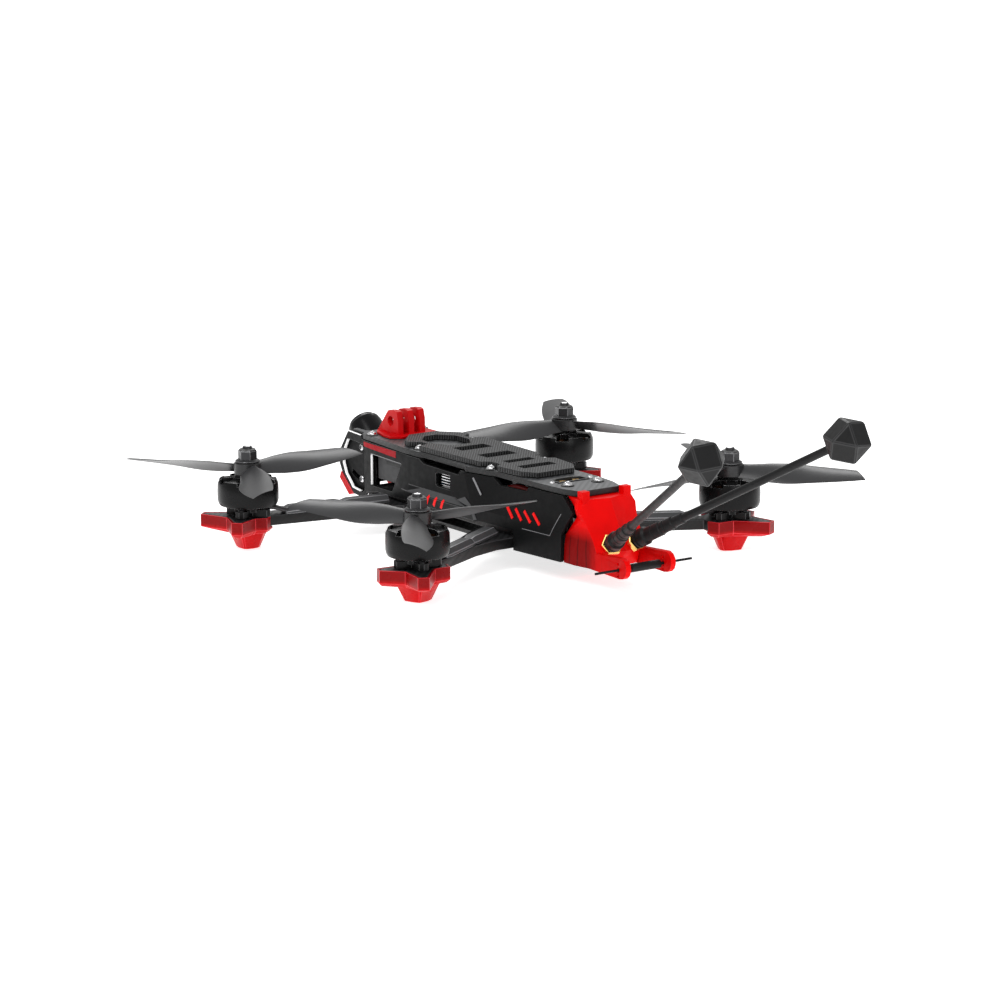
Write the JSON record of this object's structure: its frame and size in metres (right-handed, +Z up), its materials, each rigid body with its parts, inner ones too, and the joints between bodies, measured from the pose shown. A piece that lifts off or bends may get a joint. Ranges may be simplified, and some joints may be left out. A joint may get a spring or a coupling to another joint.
{
  "type": "fpv racing drone",
  "caption": "Four-arm racing drone with a plated body, tilting nose camera, battery pad, red feet, and a red tail block that carries antennas.",
  "frame": {"origin": "centre of the underside of the bottom plate, midway between the motors", "axes": "+Z up, nose towards -Y, the drone's left side towards +X"},
  "size_m": [0.255, 0.3417, 0.088],
  "materials": {
    "carbon": "satin woven carbon fibre plate",
    "foot": "satin printed soft plastic, slightly see-through",
    "motor": "black anodised, satin",
    "propeller": "smoky dark grey, slightly see-through",
    "steel": "plain",
    "panel": "fine matt black",
    "pad": "ribbed matt",
    "red_soft": "satin printed soft plastic",
    "board": "solder mask",
    "unit": "dark anodised, matt",
    "lens": "gloss black",
    "socket": "matt nylon",
    "gold": "gold plated",
    "antenna": "satin black shell"
  },
  "bodies": {
    "frame": {"bottom_plate": "carbon", "mid_plate": "carbon", "top_plate": "carbon", "arm_front_left": "carbon", "arm_front_right": "carbon", "arm_rear_left": "carbon", "arm_rear_right": "carbon", "foot_front_left": "foot", "foot_front_right": "foot", "foot_rear_left": "foot", "foot_rear_right": "foot", "motor_base_front_left": "motor", "motor_base_front_right": "motor", "motor_base_rear_left": "motor", "motor_base_rear_right": "motor", "standoff_shoulder_left": "steel", "standoff_shoulder_right": "steel", "standoff_tail_left": "steel", "standoff_tail_right": "steel", "side_panel_front_left": "panel", "side_panel_front_right": "panel", "side_cover_rear_left": "panel", "side_cover_rear_right": "panel", "camera_bracket": "panel", "battery_pad": "pad", "action_camera_mount": "red_soft", "antenna_mount": "red_soft", "nose_bumper_left": "red_soft", "nose_bumper_right": "red_soft", "flight_controller": "board", "speed_controller": "board", "receiver": "board", "air_unit": "unit", "capacitor": "unit", "power_socket": "socket", "antenna_jack_left": "gold", "antenna_jack_right": "gold", "receiver_antenna": "antenna"},
    "rotor_front_left": {"motor_bell_front_left": "motor", "propeller_front_left": "propeller", "prop_nut_front_left": "steel"},
    "rotor_front_right": {"motor_bell_front_right": "motor", "propeller_front_right": "propeller", "prop_nut_front_right": "steel"},
    "rotor_rear_left": {"motor_bell_rear_left": "motor", "propeller_rear_left": "propeller", "prop_nut_rear_left": "steel"},
    "rotor_rear_right": {"motor_bell_rear_right": "motor", "propeller_rear_right": "propeller", "prop_nut_rear_right": "steel"},
    "camera_tilt": {"camera_cradle": "steel", "camera_housing": "unit", "camera_lens": "lens"},
    "antenna_left": {"antenna_stem_left": "antenna", "antenna_head_left": "antenna"},
    "antenna_right": {"antenna_stem_right": "antenna", "antenna_head_right": "antenna"}
  },
  "joints": [
    {"name": "spin_front_left", "type": "hinge", "parent": "frame", "child": "rotor_front_left", "pos_m": [0.0902, -0.0672, 0.02], "axis": [0, 0, 1], "continuous": true},
    {"name": "spin_front_right", "type": "hinge", "parent": "frame", "child": "rotor_front_right", "pos_m": [-0.0902, -0.0672, 0.02], "axis": [0, 0, 1], "continuous": true},
    {"name": "spin_rear_left", "type": "hinge", "parent": "frame", "child": "rotor_rear_left", "pos_m": [0.0865, 0.0672, 0.02], "axis": [0, 0, 1], "continuous": true},
    {"name": "spin_rear_right", "type": "hinge", "parent": "frame", "child": "rotor_rear_right", "pos_m": [-0.0865, 0.0672, 0.02], "axis": [0, 0, 1], "continuous": true},
    {"name": "camera_tilt", "type": "hinge", "parent": "frame", "child": "camera_tilt", "pos_m": [0, -0.09, 0.0263], "axis": [-1, 0, 0], "range_deg": [-20, 10]},
    {"name": "antenna_turn_left", "type": "hinge", "parent": "frame", "child": "antenna_left", "pos_m": [0.0063, 0.1013, 0.0127], "axis": [0.2618, 0.8458, 0.4648], "range_deg": [-90, 90]},
    {"name": "antenna_turn_right", "type": "hinge", "parent": "frame", "child": "antenna_right", "pos_m": [-0.0063, 0.1013, 0.0127], "axis": [-0.2618, 0.8458, 0.4648], "range_deg": [-90, 90]}
  ]
}
